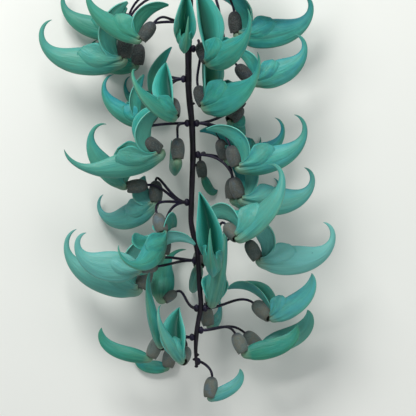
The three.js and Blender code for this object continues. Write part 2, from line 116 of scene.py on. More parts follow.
OWN = {
    1: {"deep": 1.12, "pale": 0.1},
    2: {"pale": 0.2},
    3: {"nod": 130, "curl": 0.92, "deep": 1.25, "from": 30, "to": 165, "long": 0.8, "pale": 0.15},
    4: {"pale": 0.3},
    5: {"curl": 0.85, "to": 150},
    6: {"curl": 0.7, "deep": 0.85},
    8: {"long": 1.25},
    9: {"curl": 0.65, "deep": 1.15, "from": 60, "to": 105, "long": 1.3, "wide": 1.3},
    10: {"curl": 0.62, "deep": 1.2, "from": 60, "to": 105, "long": 1.1},
    12: {"from": 70, "to": 130, "long": 1.15},
    13: {"curl": 0.85, "to": 105, "long": 1.1},
    14: {"from": 75, "to": 146, "long": 1.45},
    15: {"curl": 0.55, "nod": 60, "from": 42, "to": 215, "turn": 1, "long": 0.92, "pale": 0.35,
         "flare": -9},
    17: {"curl": 0.92, "pale": 0.2},
    18: {"curl": 0.9, "flare": 12},
    19: {"nod": 130, "deep": 1.2, "from": 50, "to": 190, "turn": 0.8, "long": 1.1, "pale": 0.4},
    21: {"young": 1, "curl": 0.6, "nod": 165, "deep": 1.6, "fat": 1.3, "bell": 0.8},
    22: {"nod": 144, "curl": 0.9, "pale": 0.2},
    23: {"curl": 1.03, "deep": 1.15, "nod": 130, "pale": 0.5, "long": 0.6},
    24: {"nod": 150, "from": 150, "to": 270, "turn": 0.8, "long": 0.48, "flare": 12, "wings": 1.2},
    25: {"nod": 144, "pale": 0.3},
    26: {"nod": 185, "deep": 1.4, "from": 115, "to": 240, "turn": 1.3, "long": 1.3, "wide": 0.65,
         "bell": 0.78, "pale": 0.7},
    27: {"curl": 0.85, "pale": 0.6},
    28: {"fat": 1.5, "pale": 0.5},
    29: {"curl": 0.9, "long": 1.0, "to": 192, "pale": 0.3},
    30: {"nod": 135, "deep": 1.15, "pale": 0.8},
    31: {"from": 40, "to": 103, "long": 1.35, "lean": 10, "wings": 1.3},
    32: {"nod": 128, "curl": 0.5, "young": 1, "deep": 1.25, "from": 58, "to": 186, "long": 1.55,
         "turn": 0.7, "wide": 1.25, "bell": 1.15, "pale": 0.35},
    33: {"young": 1},
    34: {"deep": 1.35, "curl": 0.6, "nod": 62, "bell": 0.72},
    35: {"pale": 0.2},
    36: {"nod": 112, "curl": 0.5, "young": 1, "deep": 1.2},
    37: {"nod": 130, "curl": 0.6, "young": 1, "deep": 1.3, "pale": 0.4},
    38: {"curl": 0.58, "young": 1, "deep": 0.93},
    39: {"to": 98, "long": 1.2, "curl": 0.75, "wide": 1.4, "pale": 0.3, "lean": -9},
    40: {"curl": 0.5, "young": 1},
    41: {"young": 1, "curl": 0.6, "deep": 1.4},
    42: {"nod": 66, "curl": 0.55, "young": 1, "deep": 1.15, "pale": 0.4},
}
TONES = [
    0.9, 0.8, 0.8, 0.4, 0.5, 0.1, 0.2, 0.4, 0.6, 0.5, 0.5, 0.5, 0.8, 0.6, 0.2, 0.3, 0.7, 0.9, 0.8, 0.8, 0.5,
    0.5, 0.8, 0.5, 0.4, 0.6, 0.4, 0.5, 0.7, 0.9, 0.8, 1.0, 0.8, 0.3, 0.8, 0.2, 0.3, 0.2, 0.7, 0.8, 0.6, 0.8,
]
print(len(FLOWERS), "flowers on", len(CLUSTERS), "stalk clusters")

# %% [markdown]
# ## The side view of a flower
# In its own side view a flower has x pointing ahead of the calyx and y pointing to the side that the
# claw hooks to. Petals follow lines in that view. Such a line could be drawn by hand as a curve. Here
# it is known by its heading at each share of its length, so one rule draws all 42 claws. The claw's
# line leaves the calyx, runs out nearly level and hooks ever harder. Headings are in degrees.

# %% Lines in the side view
KEEL_LENGTH = 96.5
USUAL_CURL = 1
USUAL_NOD = 110
CLAW_RISE = 26.5
CLAW_DIP = 41.6
CLAW_HOOK = 203.2
CLAW_HOOK_LATE = 3.07
STRAIGHT_START = 0.08
LINE_STEPS = 48


def ease(value, low, high):
    part = min(max((value - low) / (high - low), 0), 1)
    return part * part * (3 - 2 * part)


def claw_heading(share, curl=USUAL_CURL, nod=USUAL_NOD):
    leaving = nod - 180
    running = curl * (CLAW_RISE - CLAW_DIP * share + CLAW_HOOK * share**CLAW_HOOK_LATE)
    return leaving + (running - leaving) * ease(share, 0, STRAIGHT_START)


def line_along(start, length, heading):
    """Points from start, following heading(share) in degrees."""
    points = [Vector((start[0], start[1], 0))]
    for step in range(LINE_STEPS):
        angle = math.radians(heading((step + 0.5) / LINE_STEPS))
        points.append(points[-1] + Vector((math.cos(angle), math.sin(angle), 0)) * (length / LINE_STEPS))
    return points


def claw_line(number):
    own = OWN.get(number, {})
    curl, nod = own.get("curl", USUAL_CURL), own.get("nod", USUAL_NOD)
    return line_along((0, 0), KEEL_LENGTH, lambda share: claw_heading(share, curl, nod))


print("claw of flower 2 ends ahead and up by", [round(c, 1) for c in claw_line(2)[-1]])

# %% [markdown]
# ## Placing a flower
# A flower could be moved and turned as an object, but a finished piece has to sit at the origin with
# its place in its mesh. So one matrix takes it from its side view to its place. The straight line from
# the calyx to the claw's tip decides its size and slant, and the belly's way decides its roll.


# %% Place of a flower
def settled(place):
    """A place of the rows in millimetres, as metres in the frame."""
    return (Vector(place) + LAID_DOWN) * MM


def standing(number):
    """Matrix from the side view to the cluster, the flower's size, and the way it grows."""
    base, tip, belly = FLOWERS[number - 1][1:4]
    end = claw_line(number)[-1]
    slant = math.atan2(end.y, end.x)
    chord = Vector(tip) - Vector(base)
    size = chord.length / end.length
    chord.normalize()
    back = -Vector(belly)
    back = (back - chord * back.dot(chord)).normalized()
    ahead = chord * math.cos(slant) - back * math.sin(slant)
    up = chord * math.sin(slant) + back * math.cos(slant)
    turn = Matrix((ahead, up, ahead.cross(up))).transposed()
    place = Matrix.Translation(settled(base)) @ turn.to_4x4() @ Matrix.Scale(size * MM, 4)
    leaving = math.radians(OWN.get(number, {}).get("nod", USUAL_NOD) - 180)
    growth = ahead * math.cos(leaving) + up * math.sin(leaving)
    return place, size, growth


sizes = [standing(number)[1] for number in range(1, len(FLOWERS) + 1)]
print("flower sizes from", round(min(sizes), 2), "to", round(max(sizes), 2))

# %% [markdown]
# ## Colours and the node helper
# Colours are written as they look on a screen, and Blender wants them linear, so one function turns
# them. Nodes could be set up one by one, with several lines for each. One small function adds a node
# with its settings, and fills or links its sockets. Two more lay a tint over a colour, either where a
# pattern is strong or towards a margin. A Mix node holds sockets for numbers, vectors and colours
# under the same names, so its colour sockets are known by their numbers.


# %% Colour and node helpers
AMOUNT, UNDER, OVER, MIXED = 0, 6, 7, 2


def linear(colour):
    parts = [int(colour[place:place + 2], 16) / 255 for place in (1, 3, 5)]
    return [c / 12.92 if c <= 0.04045 else ((c + 0.055) / 1.055) ** 2.4 for c in parts] + [1]


def add(tree, kind, feeds=None, stops=None, **settings):
    """Adds a node. Settings are its properties, feeds go to its sockets as outputs, numbers or hex
    colours, and stops are a colour ramp's places, each with a hex colour or a grey."""
    node = tree.nodes.new(kind)
    for name, value in settings.items():
        setattr(node, name, value)
    for socket, feed in (feeds or {}).items():
        if isinstance(feed, bpy.types.NodeSocket):
            tree.links.new(feed, node.inputs[socket])
        else:
            node.inputs[socket].default_value = linear(feed) if isinstance(feed, str) else feed
    if stops:
        knobs = node.color_ramp.elements
        while len(knobs) < len(stops):
            knobs.new(1)
        for knob, (place, colour) in zip(knobs, stops):
            knob.position = place
            knob.color = linear(colour) if isinstance(colour, str) else (colour, colour, colour, 1)
    return node


def tinted(tree, colour, *layers, way="MIX"):
    """Lays tints over a colour. A layer is a strength, a colour ramp's stops that the strength goes
    through, or None, and the tint."""
    for strength, stops, tint in layers:
        if stops:
            strength = add(tree, "ShaderNodeValToRGB", {"Fac": strength}, stops).outputs["Color"]
        feeds = {AMOUNT: strength, UNDER: colour, OVER: tint}
        colour = add(tree, "ShaderNodeMix", feeds, data_type="RGBA", blend_type=way).outputs[MIXED]
    return colour


def tinted_towards(tree, colour, value, start, end, most, tint):
    """Lays a tint over a colour, from none of it where the value is start to most of it at end."""
    reach = {"Value": value, "From Min": start, "From Max": end, "To Max": most}
    return tinted(tree, colour, (add(tree, "ShaderNodeMapRange", reach).outputs[0], None, tint))


def surface(name, **values):
    """A material with its Principled shader, ready for colour and bump."""
    material = bpy.data.materials.new(name)
    material.use_nodes = True
    shader = material.node_tree.nodes["Principled BSDF"]
    for socket, value in values.items():
        shader.inputs[socket.replace("_", " ")].default_value = value
    return material, material.node_tree, shader


print("petal teal is", [round(c, 3) for c in linear("#3fa396")])

# %% [markdown]
# ## Reading a petal
# Each piece of a flower carries an attribute, `petal`, which holds the share along the petal, the
# share across it, and how far to the side a point lies. A pattern could follow the world's axes
# instead, but then the veins of a bent petal would run off its edge. `tone` is three numbers on each
# piece: from greener to bluer, how pale it is, and a shift of its pattern, so no two look alike.


# %% Petal patterns
def read_petal(tree):
    """The petal attribute, its shares along and across, the tone, and the tone's three numbers."""
    petal = add(tree, "ShaderNodeAttribute", attribute_name="petal").outputs["Vector"]
    tone = add(tree, "ShaderNodeAttribute", attribute_type="OBJECT", attribute_name="tone").outputs["Vector"]
    place = add(tree, "ShaderNodeSeparateXYZ", {"Vector": petal}).outputs
    own = add(tree, "ShaderNodeSeparateXYZ", {"Vector": tone}).outputs
    return petal, place["X"], place["Y"], tone, own


def streaks(tree, petal, tone, stretch, scale, detail):
    """Noise drawn out along the petal, by a stretch along it, across it and outwards."""
    stretched = add(tree, "ShaderNodeVectorMath", {0: petal, 1: stretch}, operation="MULTIPLY").outputs[0]
    moved = add(tree, "ShaderNodeVectorMath", {0: stretched, 1: tone}, operation="ADD").outputs[0]
    look = {"Vector": moved, "Scale": scale, "Detail": detail, "Roughness": 0.6, "Distortion": 0.3}
    return add(tree, "ShaderNodeTexNoise", look).outputs["Fac"]


def specks(tree, thing):
    """Round specks of under 2 mm, in about one of ten cells of a pattern."""
    cells = add(tree, "ShaderNodeTexVoronoi", {"Vector": thing, "Scale": 130, "Randomness": 1})
    spots = add(tree, "ShaderNodeValToRGB", {"Fac": cells.outputs["Distance"]}, [(0.0, 0.75), (0.1, 0.0)])
    chance = add(tree, "ShaderNodeSeparateColor", {"Color": cells.outputs["Color"]}).outputs["Red"]
    few = add(tree, "ShaderNodeValToRGB", {"Fac": chance}, [(0.88, 0.0), (0.9, 1.0)])
    return tinted(tree, spots.outputs["Color"], (1.0, None, few.outputs["Color"]), way="MULTIPLY")


print("petal patterns ready")

# %% [markdown]
# ## Petal finish
# A jade vine petal is thick and waxy, with fine veins from its base to its tip, a soft mottle, a few
# dark specks, and a thin pale margin, which on the wings and standard is partly a painted highlight on
# the rim. Wax gives it a soft shine, and a little light passes through.
# A picture could be wrapped round it, but layered patterns stay sharp and fit every bent petal. The
# layers are the colours along the petal, wide bands, veins, mottle, patches, painted shade in the creases
# near the base, and specks.

# %% Petal finish
BOTH_MARGINS = (0.84, 1, 0.75)
BELLY_RIDGE = (-0.86, -1, 0.3)
VEIN_HEIGHT = 0.0004
BAND_HEIGHT = 0.002


def petal_colour(tree, along, edge, belly):
    """The layers that every petal has, and the patterns that its bump and its margin need."""
    petal, share, across, tone, own = read_petal(tree)
    thing = add(tree, "ShaderNodeTexCoord").outputs["Object"]
    # Veins are about 0.8 mm apart and drawn a little coarser to show, and bands are 3 to 6 mm wide
    veins = streaks(tree, petal, tone, (1.5, 7, 0), 1.6, 5)
    bands = streaks(tree, petal, tone, (2.6, 2.4, 0), 1.1, 3)
    # Streaks for the painted shade in the creases near the base
    crease_shade_streaks = streaks(tree, petal, tone, (0.8, 6, 0), 0.9, 2)
    broad = streaks(tree, petal, tone, (1.2, 0.7, 0), 1.4, 2)
    look = {"Vector": thing, "Scale": 45, "Detail": 5, "Roughness": 0.65}
    mottle = add(tree, "ShaderNodeTexNoise", look).outputs["Fac"]
    colour = add(tree, "ShaderNodeValToRGB", {"Fac": share}, along).outputs["Color"]
    # Upper side of keels and wings: the edge tint is partly their own blue, partly painted sky reflection
    colour = tinted_towards(tree, colour, across, 0.1, 0.9, 0.8, edge)
    colour = tinted_towards(tree, colour, across, 0, -0.9, 0.7, belly)
    colour = tinted(
        tree, colour,
        (bands, [(0.36, 0.6), (0.5, 0.0)], "#0c6660"),
        (bands, [(0.5, 0.0), (0.66, 0.55)], "#4bb3a8"),
        (veins, [(0.38, 0.0), (0.64, 0.55)], "#146a6e"),
        (mottle, [(0.48, 0.0), (0.68, 0.4)], "#5cb8a8"),
        (broad, [(0.36, 0.6), (0.5, 0.0)], "#4d8672"),
        (broad, [(0.5, 0.0), (0.64, 0.45)], "#2290a4"))
    greener = tinted(tree, colour, (0.75, None, "#4f9a6c"), way="MULTIPLY")
    greener = tinted(tree, greener, (0.6, None, "#2f8a68"))
    colour = tinted(tree, greener, (own["X"], None, colour), (own["Y"], None, "#6fb0a9"))
    return colour, (thing, share, across, bands, veins, crease_shade_streaks)


def petal_finish(name, along, edge, belly, margin, roughness, keel=False):
    """Waxy petal: along are ramp stops from base to tip; edge, belly and margin are its tints."""
    material, tree, shader = surface(name, Roughness=roughness, Specular_IOR_Level=0.25,
                                     Subsurface_Weight=0.1, Subsurface_Scale=0.002)
    colour, (thing, share, across, bands, veins, crease_shade_streaks) = petal_colour(tree, along, edge, belly)
    # Painted shade: dark streaks near the base stand for the shade in the petal's creases
    near_base = add(tree, "ShaderNodeValToRGB", {"Fac": share}, [(0.0, 0.8), (0.4, 0.0)]).outputs["Color"]
    folded = add(tree, "ShaderNodeValToRGB", {"Fac": crease_shade_streaks}, [(0.5, 0.0), (0.62, 0.8)]).outputs["Color"]
    folded = tinted(tree, folded, (1.0, None, near_base), way="MULTIPLY")
    colour = tinted(tree, colour, (folded, None, "#0d5550"),
                    (share, [(0.0, 0.7), (0.05, 0.4), (0.14, 0.0)], "#8f9c7c"))
    out = across if keel else add(tree, "ShaderNodeMath", {0: across}, operation="ABSOLUTE").outputs[0]
    # The keel's tan belly ridge is its own colour; the pale margins of wings and standard are partly the
    # petal's own rim and partly a painted highlight
    colour = tinted_towards(tree, colour, out, *(BELLY_RIDGE if keel else BOTH_MARGINS), margin)
    colour = tinted(tree, colour, (specks(tree, thing), None, "#12403a"))
    tree.links.new(colour, shader.inputs["Base Color"])
    dents = add(tree, "ShaderNodeBump", {"Height": bands, "Strength": 0.5, "Distance": BAND_HEIGHT})
    feeds = {"Height": veins, "Strength": 0.5, "Distance": VEIN_HEIGHT, "Normal": dents.outputs[0]}
    tree.links.new(add(tree, "ShaderNodeBump", feeds).outputs[0], shader.inputs["Normal"])
    return material


print("petal finish ready")

# %% [markdown]
# ## Keel, wings and standard
# The three kinds of petal share one finish with other colours. One material for all would be simpler,
# but the keel is bluer on its upper side, partly its own colour and partly painted sky reflection, and
# dark at the tip of its claw, the wings are nearly even, and the standard darkens towards its end.

# %% Keel, wing and standard finishes
KEEL_FINISH = petal_finish(
    "waxy_keel_petal",
    [(0.0, "#8fa083"), (0.07, "#5a9880"), (0.16, "#348f79"), (0.36, "#2c9488"), (0.62, "#27968f"),
     (0.8, "#1e8782"), (0.9, "#21705c"), (1.0, "#1f4c34")],
    "#1c86a0", "#459c7c", "#7d9a78", 0.42, keel=True)
WING_FINISH = petal_finish(
    "waxy_wing_petal",
    [(0.0, "#4a8a72"), (0.3, "#2f9785"), (0.7, "#24938a"), (1.0, "#1b7d78")],
    "#1d8f9c", "#3a9c88", "#3fa093", 0.46)
STANDARD_FINISH = petal_finish(
    "waxy_standard_petal",
    [(0.0, "#44947a"), (0.25, "#2f9783"), (0.6, "#268b7f"), (0.85, "#1b7166"), (1.0, "#175546")],
    "#35a79c", "#2f9f90", "#66b8a6", 0.46)
print("finishes:", KEEL_FINISH.name, WING_FINISH.name, STANDARD_FINISH.name)

# %% [markdown]
# ## The standard's hollow side
# Looking into the folded standard, you see deep green along the fold and paler margins. The shadow in
# the fold gives part of that, and the rest is painted shade in this finish, darkest along the fold. So
# the hollow side gets its own finish, and Solidify puts it on the hollow side only.


# %% Hollow finish
def hollow_finish():
    """Waxy skin with a dull shine; painted shade, deep green along the fold and paler at both margins."""
    material, tree, shader = surface("waxy_standard_hollow", Roughness=0.5, Specular_IOR_Level=0.3,
                                     Subsurface_Weight=0.1)
    petal = add(tree, "ShaderNodeAttribute", attribute_name="petal").outputs["Vector"]
    across = add(tree, "ShaderNodeSeparateXYZ", {"Vector": petal}).outputs["Y"]
    out = add(tree, "ShaderNodeMath", {0: across}, operation="ABSOLUTE").outputs[0]
    drawn = add(tree, "ShaderNodeVectorMath", {0: petal, 1: (3, 16, 0)}, operation="MULTIPLY").outputs[0]
    veins = add(tree, "ShaderNodeTexNoise", {"Vector": drawn, "Scale": 2, "Detail": 4}).outputs["Fac"]
    # Painted shade: darkest along the fold (0) and lighter towards the margins (1)
    stops = [(0.0, "#05382f"), (0.3, "#0a4f46"), (0.52, "#167468"), (0.66, "#2b978c"), (0.92, "#38a296"),
             (1.0, "#62b7a8")]
    colour = add(tree, "ShaderNodeValToRGB", {"Fac": out}, stops).outputs["Color"]
    colour = tinted(tree, colour, (veins, [(0.4, 0.0), (0.7, 0.4)], "#0d5a50"))
    tree.links.new(colour, shader.inputs["Base Color"])
    bump = add(tree, "ShaderNodeBump", {"Height": veins, "Strength": 0.4, "Distance": VEIN_HEIGHT})
    tree.links.new(bump.outputs[0], shader.inputs["Normal"])
    return material


HOLLOW_FINISH = hollow_finish()
print("finish:", HOLLOW_FINISH.name)

# %% [markdown]
# ## Calyx finish
# The calyx feels mealy: a velvet of tiny pale grains over slate and grey-brown skin. Thousands of hairs
# could be grown on it, but grains of 0.4 mm are too small to see one by one. Fine noise as colour and
# bump, with a little sheen and hardly any gloss, gives the same dusty look.

# %% Calyx finish
GRAIN_HEIGHT = 0.0003


def calyx_finish():
    """Mealy skin: grains about 0.4 mm apart over dark or pale patches, tan at the mouth."""
    material, tree, shader = surface("mealy_calyx_skin", Roughness=0.82, Sheen_Weight=0.2)
    shader.inputs["Sheen Tint"].default_value = linear("#b4bcc4")
    thing = add(tree, "ShaderNodeTexCoord").outputs["Object"]
    petal, share, across, tone, own = read_petal(tree)
    look = {"Vector": thing, "Scale": 90, "Detail": 4, "Roughness": 0.6}
    patches = add(tree, "ShaderNodeTexNoise", look).outputs["Fac"]
    grains = add(tree, "ShaderNodeTexNoise", {"Vector": thing, "Scale": 1500, "Detail": 2}).outputs["Fac"]
    dark = add(tree, "ShaderNodeValToRGB", {"Fac": patches}, [
        (0.3, "#12191a"), (0.45, "#212829"), (0.55, "#2e2d2b"), (0.68, "#273039")])
    pale = add(tree, "ShaderNodeValToRGB", {"Fac": patches}, [
        (0.3, "#47524e"), (0.45, "#596560"), (0.55, "#646458"), (0.68, "#586a70")])
    colour = tinted(
        tree, dark.outputs["Color"],
        (own["X"], None, pale.outputs["Color"]),
        (grains, [(0.5, 0.0), (0.7, 0.4)], "#7d8884"),
        (share, [(0.0, 0.8), (0.2, 0.0)], "#211c2a"),
        (share, [(0.84, 0.0), (1.0, 0.5)], "#47473c"))
    tree.links.new(colour, shader.inputs["Base Color"])
    bump = add(tree, "ShaderNodeBump", {"Height": grains, "Strength": 0.6, "Distance": GRAIN_HEIGHT})
    tree.links.new(bump.outputs[0], shader.inputs["Normal"])
    return material


CALYX_FINISH = calyx_finish()
print("finish:", CALYX_FINISH.name)

# %% [markdown]
# ## Stem and stalk finishes
# The main stem and the stalks have a smooth and nearly black skin with a purple cast and fine ridges,
# which gives them thin soft glints. The ridges could be modelled, but they are too fine to tell apart
# in the picture. So noise that is drawn out along the stem is used as bump, and as a paler violet on
# the ridge tops, which is a painted sheen. Stalks run all ways, and their noise is drawn out less.

# %% Stem and stalk finishes
RIDGE_HEIGHT = 0.0004


def stem_finish(name, dark, light, drawn_out):
    """Smooth dark skin; its ridges are about 1.2 mm apart and get longer as drawn_out gets smaller."""
    material, tree, shader = surface(name, Roughness=0.5, Specular_IOR_Level=0.25)
    thing = add(tree, "ShaderNodeTexCoord").outputs["Object"]
    drawn = add(tree, "ShaderNodeMapping", {"Vector": thing, "Scale": (1, drawn_out, 1)}).outputs[0]
    ridges = add(tree, "ShaderNodeTexNoise", {"Vector": drawn, "Scale": 800, "Detail": 3}).outputs["Fac"]
    patches = add(tree, "ShaderNodeTexNoise", {"Vector": thing, "Scale": 120, "Detail": 4}).outputs["Fac"]
    colour = add(tree, "ShaderNodeValToRGB", {"Fac": patches}, [(0.35, dark), (0.65, light)])
    # Painted sheen: a paler violet on the ridge tops stands for their glints
    colour = tinted(tree, colour.outputs["Color"], (ridges, [(0.5, 0.0), (0.75, 0.35)], "#352a42"))
    tree.links.new(colour, shader.inputs["Base Color"])
    bump = add(tree, "ShaderNodeBump", {"Height": ridges, "Strength": 0.5, "Distance": RIDGE_HEIGHT})
    tree.links.new(bump.outputs[0], shader.inputs["Normal"])
    return material


STEM_FINISH = stem_finish("dark_stem_skin", "#08060b", "#150e19", 0.12)
STALK_FINISH = stem_finish("dark_stalk_skin", "#0c0912", "#1b1530", 0.5)
print("finishes:", STEM_FINISH.name, STALK_FINISH.name)

# %% [markdown]
# ## Working in edit mode
# Petals start as straight blanks along X: a ring that is extruded row by row for the keel, and a grid
# for the flat petals. They could be sculpted, but rows that are picked by their place and then scaled
# follow a table of widths exactly. Modifiers finish the blank.


# %% Edit mode helpers
def fresh(name):
    """Names the primitive that was just added and opens it for editing with all of it selected."""
    piece = bpy.context.object
    piece.name = name
    piece.data.name = name
    bpy.ops.object.transform_apply(location=True, rotation=True, scale=True)
    bpy.ops.object.mode_set(mode="EDIT")
    bpy.ops.mesh.select_mode(type="VERT")
    bpy.ops.mesh.select_all(action="SELECT")
    return piece


def pick(piece, test):
    """Selects only the points whose place passes the test."""
    mesh = bmesh.from_edit_mesh(piece.data)
    for point in mesh.verts:
        point.select = bool(test(point.co))
    mesh.select_flush_mode()
    bmesh.update_edit_mesh(piece.data)


def read_shares(pairs, share):
    """Reads a table of places and values at a share, straight between its rows."""
    for (low, first), (high, second) in zip(pairs, pairs[1:]):
        if share <= high:
            return first + (second - first) * (share - low) / (high - low)
    return pairs[-1][1]


def finish_blank(piece, *modifiers):
    """Applies modifiers, given as kind and settings."""
    for kind, settings in modifiers:
        modifier = piece.modifiers.new(kind.lower(), kind)
        for name, value in settings.items():
            setattr(modifier, name, value)
        bpy.ops.object.modifier_apply(modifier=modifier.name)
    return piece


for thing in bpy.context.selected_objects:
    thing.select_set(False)
print("nothing selected, edit helpers ready")

# %% [markdown]
# ## The petal attribute
# The patterns need to know where on its petal each point is. Unwrapping would tell them too, but a
# straight blank is simpler: the share along is the place along X, and the share across is measured
# against the widest point of the same row. It is stored before the bend, so it bends with the petal.

# %% Petal attribute
NO_WIDTH = 1e-4


def remember_shares(piece, length, axis=1):
    """Stores the petal attribute; axis is the one that runs across the petal."""
    rows = {}
    for point in piece.data.vertices:
        key = round(point.co.x, 2)
        rows[key] = max(rows.get(key, 0), abs(point.co[axis]))
    petal = piece.data.attributes.new("petal", "FLOAT_VECTOR", "POINT")
    for point, held in zip(piece.data.vertices, petal.data):
        widest = max(rows[round(point.co.x, 2)], NO_WIDTH)
        held.vector = (point.co.x / length, point.co[axis] / widest, point.co.z)


print("petal attribute ready")

# %% [markdown]
# ## The keel's blank
# The keel is a boat of two petals grown together along the belly, flattened from side to side, deep
# near the calyx and drawn out to a fine hook. A ring is extruded along X in rows, and each row is
# scaled to the depth and width of the claw there. The belly's points are pinched to a ridge. Young
# keels have the same rows but stay deep nearly to the tip, so they get a table of their own.

# %% Keel blank
KEEL_DEPTH = 25
KEEL_WIDTH = 13.5
KEEL_DEPTH_SHARES = [
    (0, 0.2), (0.04, 0.32), (0.1, 0.62), (0.175, 0.9), (0.31, 1), (0.444, 0.9), (0.556, 0.7), (0.638, 0.5),
    (0.712, 0.33), (0.781, 0.22), (0.844, 0.17), (0.906, 0.13), (0.956, 0.08), (1, 0.01)]
YOUNG_DEPTH_SHARES = [
    (0, 0.3), (0.06, 0.52), (0.15, 0.8), (0.3, 1), (0.5, 0.95), (0.65, 0.84), (0.8, 0.63), (0.9, 0.4),
    (0.96, 0.2), (1, 0.02)]
KEEL_WIDTH_SHARES = [(0, 0.55), (0.15, 0.95), (0.35, 1), (0.55, 0.78), (0.7, 0.45), (0.85, 0.22), (1, 0.02)]
KEEL_ROWS = [
    0, 0.03, 0.06, 0.1, 0.15, 0.21, 0.28, 0.36, 0.44, 0.52, 0.6, 0.67, 0.73, 0.79, 0.85, 0.9, 0.95, 1]
PINCHED_FROM = 0.7
BELLY_PINCH = 0.6
BACK_PINCH = 0.85
CLOSE = 0.01


def make_keel_blank(name, depth_shares):
    bpy.ops.mesh.primitive_circle_add(vertices=12, radius=1, rotation=(0, math.pi / 2, 0))
    piece = fresh(name)
    pick(piece, lambda place: place.y < -PINCHED_FROM)
    bpy.ops.transform.resize(value=(1, 1, BELLY_PINCH), center_override=(0, 0, 0))
    pick(piece, lambda place: place.y > PINCHED_FROM)
    bpy.ops.transform.resize(value=(1, 1, BACK_PINCH), center_override=(0, 0, 0))
    bpy.ops.mesh.select_all(action="SELECT")
    depth = width = 1
    for row, share in enumerate(KEEL_ROWS):
        if row:
            step = (share - KEEL_ROWS[row - 1]) * KEEL_LENGTH
            bpy.ops.mesh.extrude_region_move(TRANSFORM_OT_translate={"value": (step, 0, 0)})
        next_depth = KEEL_DEPTH / 2 * read_shares(depth_shares, share)
        next_width = KEEL_WIDTH / 2 * read_shares(KEEL_WIDTH_SHARES, share)
        bpy.ops.transform.resize(value=(1, next_depth / depth, next_width / width),
                                 center_override=(share * KEEL_LENGTH, 0, 0))
        depth, width = next_depth, next_width
    bpy.ops.mesh.edge_face_add()
    pick(piece, lambda place: place.x < CLOSE)
    bpy.ops.mesh.edge_face_add()
    bpy.ops.mesh.select_all(action="SELECT")
    bpy.ops.mesh.normals_make_consistent(inside=False)
    bpy.ops.object.mode_set(mode="OBJECT")
    remember_shares(piece, KEEL_LENGTH)
    return finish_blank(piece, ("SUBSURF", {"levels": 2, "render_levels": 2}))


keel_blank = make_keel_blank("keel_blank", KEEL_DEPTH_SHARES)
young_blank = make_keel_blank("young_keel_blank", YOUNG_DEPTH_SHARES)
print("keel blank faces", len(keel_blank.data.polygons))

# %% [markdown]
# ## The wing's blank
# A wing is a spoon: a thin shank at the calyx, then a rounded blade that cups round the keel's side
# and stands a little proud of its upper edge. It could be cut out of a swollen keel, but it is really
# a thin sheet. So a grid's columns are lifted to cup it, its rows are scaled to the spoon's outline,
# and Solidify gives it its thickness.

# %% Wing blank
WING_LENGTH = 34
WING_ROWS = 12
WING_COLUMNS = 10
PETAL_THICKNESS = 0.9
WING_WIDTH_SHARES = [
    (0, 1.6), (0.18, 3.4), (0.36, 7.6), (0.52, 10.8), (0.68, 12), (0.82, 10.8), (0.93, 7.6), (1, 3.4)]
WING_CUP_SHARES = [(0, 0.8), (0.25, 2.6), (0.5, 3.6), (0.75, 3), (0.9, 1.2), (1, -0.6)]
CUP_BELOW = 2.3
CUP_ABOVE = 1.1
PROUD_EDGE = 2.6
PROUD_FROM = 0.5


def shape_grid(piece, length, rows, columns, across, move_column, scale_row):
    """Stretches a grid along X, moves its columns, which lie along one axis, and scales its rows."""
    bpy.ops.transform.translate(value=(1, 0, 0))
    bpy.ops.transform.resize(value=(length / 2, 1, 1), center_override=(0, 0, 0))
    for column in range(columns + 1):
        at = 2 * column / columns - 1
        pick(piece, lambda place: abs(place[across] - at) < CLOSE)
        bpy.ops.transform.translate(value=move_column(at))
    for row in range(rows + 1):
        x = length * row / rows
        pick(piece, lambda place: abs(place.x - x) < CLOSE)
        bpy.ops.transform.resize(value=scale_row(x / length), center_override=(x, 0, 0))
    bpy.ops.object.mode_set(mode="OBJECT")


def cup_wing(at):
    cup = CUP_BELOW if at < 0 else CUP_ABOVE
    return 0, 0, 1 - cup * at * at + PROUD_EDGE * max(at - PROUD_FROM, 0)


def make_wing_blank():
    bpy.ops.mesh.primitive_grid_add(x_subdivisions=WING_ROWS, y_subdivisions=WING_COLUMNS, size=2)
    piece = fresh("wing_blank")
    shape_grid(piece, WING_LENGTH, WING_ROWS, WING_COLUMNS, 1, cup_wing, lambda share: (
        1, read_shares(WING_WIDTH_SHARES, share), read_shares(WING_CUP_SHARES, share)))
    remember_shares(piece, WING_LENGTH)
    return finish_blank(piece, ("SUBSURF", {"levels": 1, "render_levels": 1}),
                        ("SOLIDIFY", {"thickness": PETAL_THICKNESS, "offset": 0}))


wing_blank = make_wing_blank()
print("wing blank faces", len(wing_blank.data.polygons))

# %% [markdown]
# ## The standard's blank
# The standard is a boat-shaped petal folded along its midrib. Its fold lies against the calyx and its
# two margins open towards the keel, so from ahead you look into a dark green trough. It could be bent
# in two steps, fold first. Here the grid stands across Z, and its columns are pushed straight into a
# rounded V. Its rows are scaled to the outline as the wing's are.

# %% Standard blank
STANDARD_LENGTH = 60
STANDARD_ROWS = 18
STANDARD_COLUMNS = 12
STANDARD_DEPTH_SHARES = [
    (0, 2.6), (0.1, 3.5), (0.25, 5.6), (0.42, 7.2), (0.55, 6.9), (0.7, 5.6), (0.85, 3.9), (1, 0.8)]
STANDARD_WIDTH_SHARES = [
    (0, 3), (0.1, 5), (0.25, 10), (0.42, 13), (0.55, 12.4), (0.7, 9.4), (0.85, 5.4), (1, 0.6)]
FOLD_SHARPNESS = 1.7


def fold_standard(at):
    return 0, 1 - 2 * math.sin(math.pi / 2 * abs(at)) ** FOLD_SHARPNESS, 0


